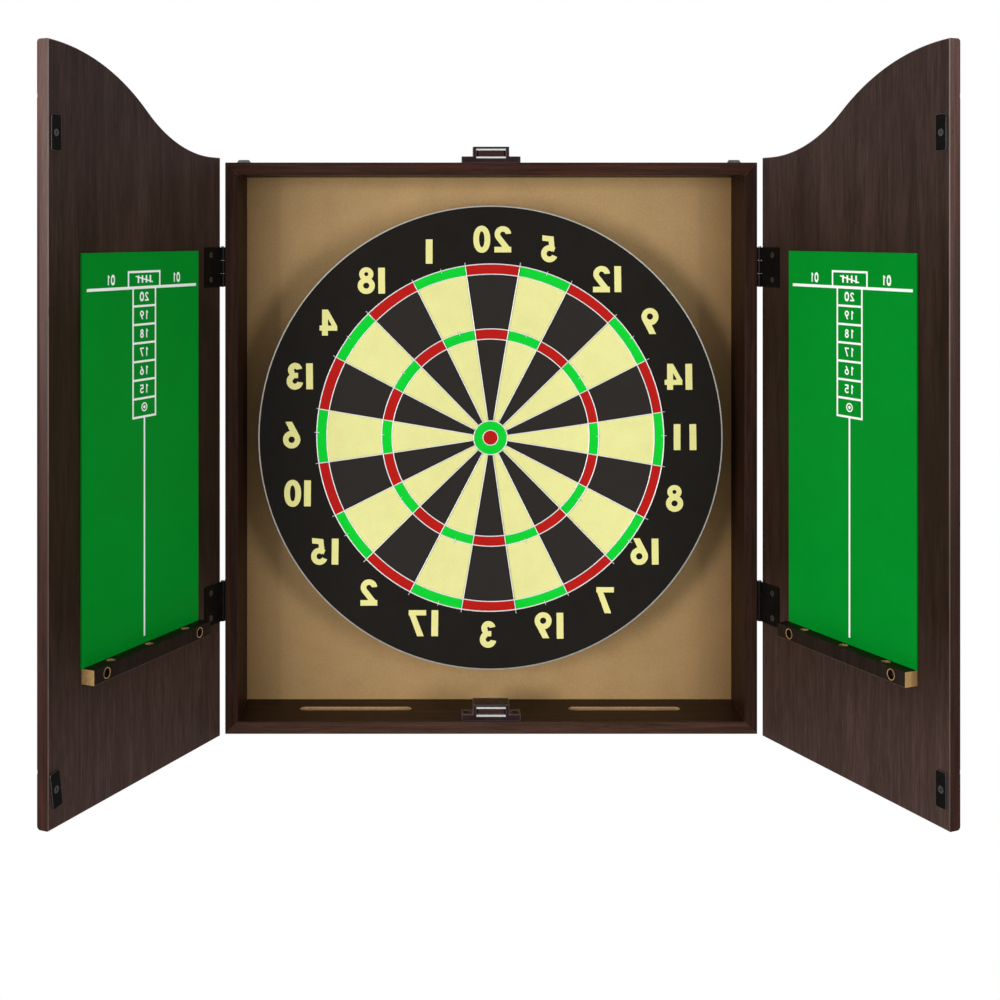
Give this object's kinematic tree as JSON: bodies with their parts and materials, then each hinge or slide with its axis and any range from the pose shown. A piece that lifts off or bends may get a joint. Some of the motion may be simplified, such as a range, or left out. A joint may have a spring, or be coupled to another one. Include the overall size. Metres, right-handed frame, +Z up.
{
  "type": "dart board cabinet",
  "caption": "Wall-hung dart board cabinet: mitred walnut-finish box around a round wired dart board, with arched hinged doors carrying scoreboards, dart racks and magnetic catch plates.",
  "frame": {"origin": "middle of the rear face of the box, in the plane of the wall", "axes": "+Z up, -Y out of the wall towards the player, +X to the right as seen by the player"},
  "size_m": [0.75, 0.3158, 0.6408],
  "materials": {
    "walnut": "printed dark walnut foil on board, satin",
    "door_walnut": "printed dark walnut foil on board, satin",
    "rack_walnut": "printed dark walnut foil, satin",
    "raw_board": "bare hardboard, matt",
    "raw_wood": "bare board, matt",
    "zinc_steel": "bright zinc plate",
    "black_steel": "black lacquer, semi-gloss",
    "screw_steel": "black zinc",
    "brown_plastic": "dark brown moulded plastic",
    "magnet": "ferrite, matt",
    "pole_steel": "bright rolled steel",
    "score_green": "green laminate, satin",
    "print_white": "white screen print",
    "nylon": "natural nylon",
    "sisal_black": "dyed sisal end grain",
    "sisal_cream": "dyed sisal end grain",
    "sisal_red": "dyed sisal end grain",
    "sisal_green": "dyed sisal end grain",
    "spider_steel": "bright drawn wire",
    "band_steel": "bright strip",
    "rubber_black": "matt"
  },
  "bodies": {
    "cabinet": {"top_board": "walnut", "bottom_board": "walnut", "left_side_board": "walnut", "right_side_board": "walnut", "back_panel": "raw_board", "rear_batten": "raw_wood", "corner_brads": "zinc_steel", "left_hanger_plate": "black_steel", "right_hanger_plate": "black_steel", "hanger_screws": "zinc_steel", "board_bracket": "zinc_steel", "bracket_screws": "zinc_steel", "top_catch_housing": "brown_plastic", "bottom_catch_housing": "brown_plastic", "catch_magnets": "magnet", "catch_pole_plates": "pole_steel", "catch_screws": "zinc_steel", "left_upper_box_leaf": "black_steel", "left_lower_box_leaf": "black_steel", "right_upper_box_leaf": "black_steel", "right_lower_box_leaf": "black_steel", "hinge_pins": "black_steel", "box_leaf_screws": "screw_steel"},
    "left_door": {"left_door_panel": "door_walnut", "left_upper_door_leaf": "black_steel", "left_lower_door_leaf": "black_steel", "left_leaf_screws": "screw_steel", "left_scoreboard": "score_green", "left_score_lines": "print_white", "left_dart_rack": "rack_walnut", "left_rack_screws": "screw_steel", "left_upper_striker": "black_steel", "left_lower_striker": "black_steel", "left_striker_screws": "screw_steel"},
    "right_door": {"right_door_panel": "door_walnut", "right_upper_door_leaf": "black_steel", "right_lower_door_leaf": "black_steel", "right_leaf_screws": "screw_steel", "right_scoreboard": "score_green", "right_score_lines": "print_white", "right_dart_rack": "rack_walnut", "right_rack_screws": "screw_steel", "right_upper_striker": "black_steel", "right_lower_striker": "black_steel", "right_striker_screws": "screw_steel"},
    "bush": {"hanger_bush": "nylon"},
    "dart_board": {"centre_screw": "zinc_steel", "backing_disc": "raw_wood", "sisal_disc": "sisal_black", "steel_band": "band_steel", "cream_beds": "sisal_cream", "red_beds": "sisal_red", "green_beds": "sisal_green", "spider_wires": "spider_steel", "board_bumpers": "rubber_black"}
  },
  "joints": [
    {"name": "left_door_hinge", "type": "hinge", "parent": "cabinet", "child": "left_door", "pos_m": [-0.2584, -0.0809, 0], "axis": [0, 0, -1], "range_deg": [-114, 66]},
    {"name": "right_door_hinge", "type": "hinge", "parent": "cabinet", "child": "right_door", "pos_m": [0.2584, -0.0809, 0], "axis": [0, 0, 1], "range_deg": [-113.7, 66.3]},
    {"name": "board_lift", "type": "slide", "parent": "cabinet", "child": "bush", "axis": [0, 0, 1], "range_m": [0, 0.02]},
    {"name": "board_spin", "type": "hinge", "parent": "bush", "child": "dart_board", "pos_m": [0, -0.015, 0.007], "axis": [0, 1, 0], "continuous": true}
  ]
}
